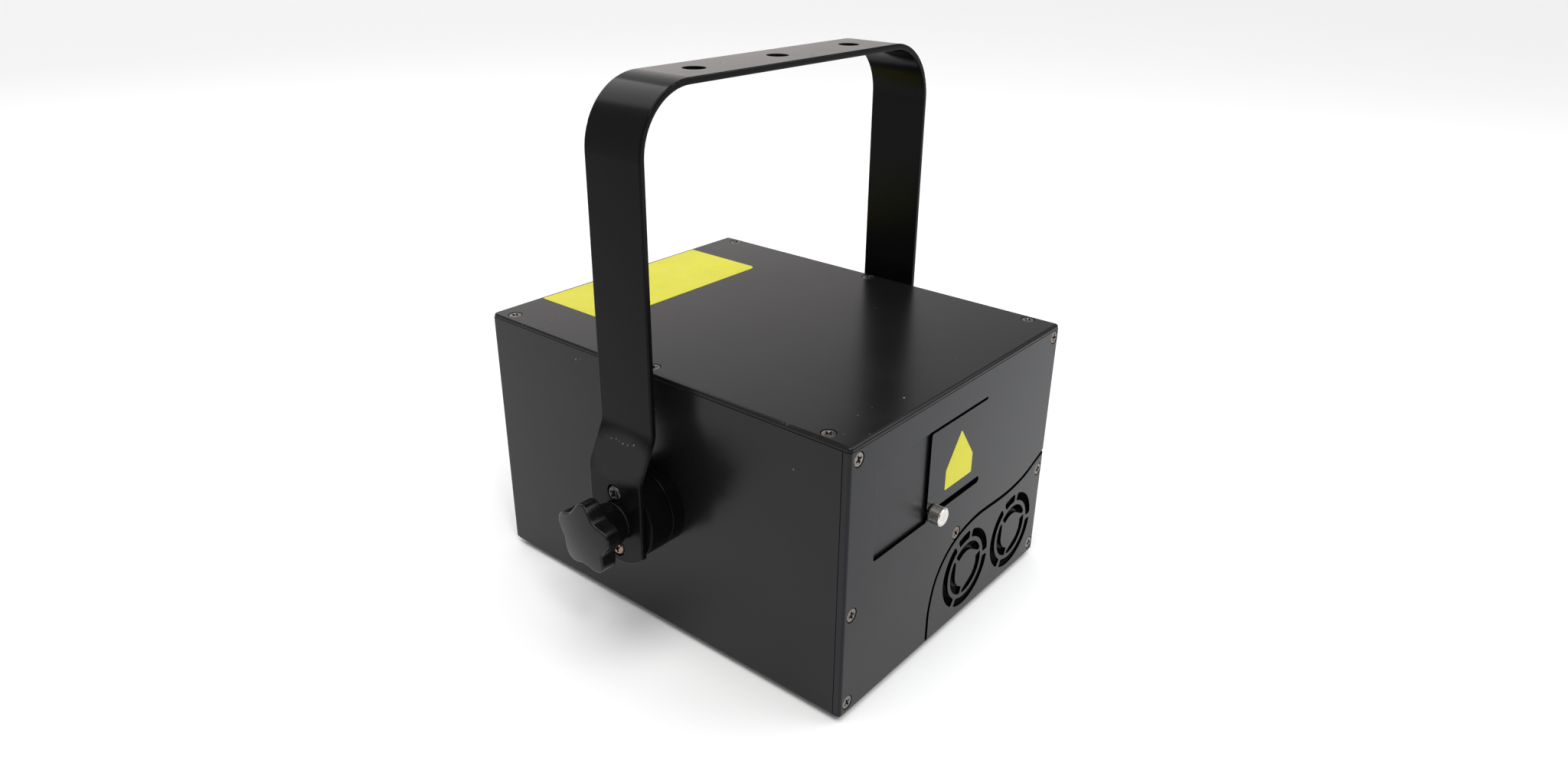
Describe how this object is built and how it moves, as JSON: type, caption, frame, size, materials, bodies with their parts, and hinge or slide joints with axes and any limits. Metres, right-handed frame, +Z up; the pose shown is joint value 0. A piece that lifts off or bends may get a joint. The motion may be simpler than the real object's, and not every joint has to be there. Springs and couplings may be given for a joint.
{
  "type": "laser show projector",
  "caption": "Boxy black sheet-metal laser show projector in a U-shaped yoke with star knobs, a sliding shutter over its aperture, front fans behind a curved cover plate and rear sockets.",
  "frame": {"origin": "on the floor under the middle of the case, bottom centre of the whole bounding box", "axes": "+Z up, front panel and laser aperture face -Y, +X to the right seen from the front"},
  "size_m": [0.357, 0.3182, 0.354],
  "materials": {
    "case_paint": "satin black powder coat",
    "yoke_paint": "satin black powder coat",
    "screw_nickel": "nickel-plated steel, warm tint",
    "bright_nickel": "bright nickel plate",
    "disc_plastic": "black moulded nylon",
    "knob_plastic": "black moulded plastic, satin to gloss",
    "plain_steel": "zinc-plated steel",
    "black_plastic": "black moulded plastic",
    "foot_rubber": "black rubber",
    "clear_glass": "clear coated glass",
    "display_plastic": "dark tinted window",
    "board_green": "green circuit board",
    "bare_aluminium": "machined",
    "mirror_coating": "first-surface mirror",
    "label_yellow": "plain yellow vinyl sticker"
  },
  "bodies": {
    "housing": {"base_plate": "case_paint", "left_side_panel": "case_paint", "right_side_panel": "case_paint", "top_cover": "case_paint", "front_panel": "case_paint", "fan_cover_plate": "case_paint", "front_crossbar": "plain_steel", "rear_panel": "case_paint", "power_inlet": "black_plastic", "power_switch_body": "black_plastic", "dmx_in_socket": "black_plastic", "dmx_out_socket": "black_plastic", "socket_screws": "screw_nickel", "key_switch_body": "bright_nickel", "display_window": "display_plastic", "control_board": "board_green", "safety_eye": "plain_steel", "case_screws": "screw_nickel", "rubber_feet": "foot_rubber", "pivot_disc_left": "disc_plastic", "pivot_disc_right": "disc_plastic", "pivot_nuts": "plain_steel", "shutter_rails": "plain_steel", "aperture_frame": "plain_steel", "aperture_glass": "clear_glass", "fan_frames": "black_plastic", "fan_screws": "screw_nickel", "optical_base": "bare_aluminium", "optics_standoffs": "bare_aluminium", "laser_heat_sink": "bare_aluminium", "red_laser_module": "bare_aluminium", "green_laser_module": "bare_aluminium", "blue_laser_module": "bare_aluminium", "mirror_mounts": "bare_aluminium", "combining_mirrors": "mirror_coating", "galvo_block": "bare_aluminium", "galvo_motors": "bare_aluminium", "galvo_driver_boards": "board_green", "power_supply": "plain_steel"},
    "yoke": {"yoke_bracket": "yoke_paint", "friction_disc_left": "disc_plastic", "friction_disc_right": "disc_plastic", "disc_screws": "screw_nickel"},
    "left_washer": {"knob_washer_left": "plain_steel"},
    "left_knob": {"knob_left": "knob_plastic"},
    "right_washer": {"knob_washer_right": "plain_steel"},
    "right_knob": {"knob_right": "knob_plastic"},
    "shutter": {"shutter_plate": "case_paint"},
    "thumb_screw": {"shutter_thumb_screw": "bright_nickel"},
    "left_fan": {"fan_rotor_left": "black_plastic"},
    "right_fan": {"fan_rotor_right": "black_plastic"},
    "galvo_x": {"galvo_mirror_x": "mirror_coating"},
    "galvo_y": {"galvo_mirror_y": "mirror_coating"},
    "rocker": {"power_rocker": "black_plastic"},
    "key": {"switch_key": "bright_nickel"},
    "button_1": {"menu_button_1": "black_plastic"},
    "button_2": {"menu_button_2": "black_plastic"},
    "button_3": {"menu_button_3": "black_plastic"},
    "button_4": {"menu_button_4": "black_plastic"}
  },
  "joints": [
    {"name": "yoke_tilt", "type": "hinge", "parent": "housing", "child": "yoke", "pos_m": [0, 0, 0.094], "axis": [1, 0, 0], "range_deg": [-100, 100]},
    {"name": "left_knob_lift", "type": "slide", "parent": "housing", "child": "left_washer", "axis": [-1, 0, 0], "range_m": [0, 0.0025]},
    {"name": "left_knob_turn", "type": "hinge", "parent": "left_washer", "child": "left_knob", "pos_m": [-0.165, 0, 0.094], "axis": [-1, 0, 0], "range_deg": [0, 720]},
    {"name": "right_knob_lift", "type": "slide", "parent": "housing", "child": "right_washer", "axis": [1, 0, 0], "range_m": [0, 0.0025]},
    {"name": "right_knob_turn", "type": "hinge", "parent": "right_washer", "child": "right_knob", "pos_m": [0.165, 0, 0.094], "axis": [1, 0, 0], "range_deg": [0, 720]},
    {"name": "shutter_slide", "type": "slide", "parent": "housing", "child": "shutter", "axis": [1, 0, 0], "range_m": [0, 0.053]},
    {"name": "thumb_screw_turn", "type": "hinge", "parent": "shutter", "child": "thumb_screw", "pos_m": [-0.0312, -0.155, 0.1044], "axis": [0, -1, 0], "range_deg": [0, 360]},
    {"name": "left_fan_spin", "type": "hinge", "parent": "housing", "child": "left_fan", "pos_m": [0.0184, -0.135, 0.0392], "axis": [0, -1, 0], "continuous": true},
    {"name": "right_fan_spin", "type": "hinge", "parent": "housing", "child": "right_fan", "pos_m": [0.0793, -0.135, 0.0392], "axis": [0, -1, 0], "continuous": true},
    {"name": "galvo_x_swing", "type": "hinge", "parent": "housing", "child": "galvo_x", "pos_m": [-0.068, -0.1, 0.124], "axis": [0, 1, 0], "range_deg": [-12, 12]},
    {"name": "galvo_y_swing", "type": "hinge", "parent": "housing", "child": "galvo_y", "pos_m": [-0.068, -0.1, 0.138], "axis": [1, 0, 0], "range_deg": [-12, 12]},
    {"name": "rocker_flip", "type": "hinge", "parent": "housing", "child": "rocker", "pos_m": [0.04, 0.1485, 0.036], "axis": [1, 0, 0], "range_deg": [0, 20]},
    {"name": "key_turn", "type": "hinge", "parent": "housing", "child": "key", "pos_m": [-0.076, 0.1505, 0.042], "axis": [0, 1, 0], "range_deg": [0, 90]},
    {"name": "button_1_press", "type": "slide", "parent": "housing", "child": "button_1", "axis": [0, -1, 0], "range_m": [0, 0.001], "stiffness_N_per_m": 900, "springref_m": -0.0003},
    {"name": "button_2_press", "type": "slide", "parent": "housing", "child": "button_2", "axis": [0, -1, 0], "range_m": [0, 0.001], "stiffness_N_per_m": 900, "springref_m": -0.0003},
    {"name": "button_3_press", "type": "slide", "parent": "housing", "child": "button_3", "axis": [0, -1, 0], "range_m": [0, 0.001], "stiffness_N_per_m": 900, "springref_m": -0.0003},
    {"name": "button_4_press", "type": "slide", "parent": "housing", "child": "button_4", "axis": [0, -1, 0], "range_m": [0, 0.001], "stiffness_N_per_m": 900, "springref_m": -0.0003}
  ],
  "couplings": [
    {"joint": "left_knob_turn", "follows": "left_knob_lift", "rad_per_m": 5026.5},
    {"joint": "right_knob_turn", "follows": "right_knob_lift", "rad_per_m": 5026.5}
  ]
}
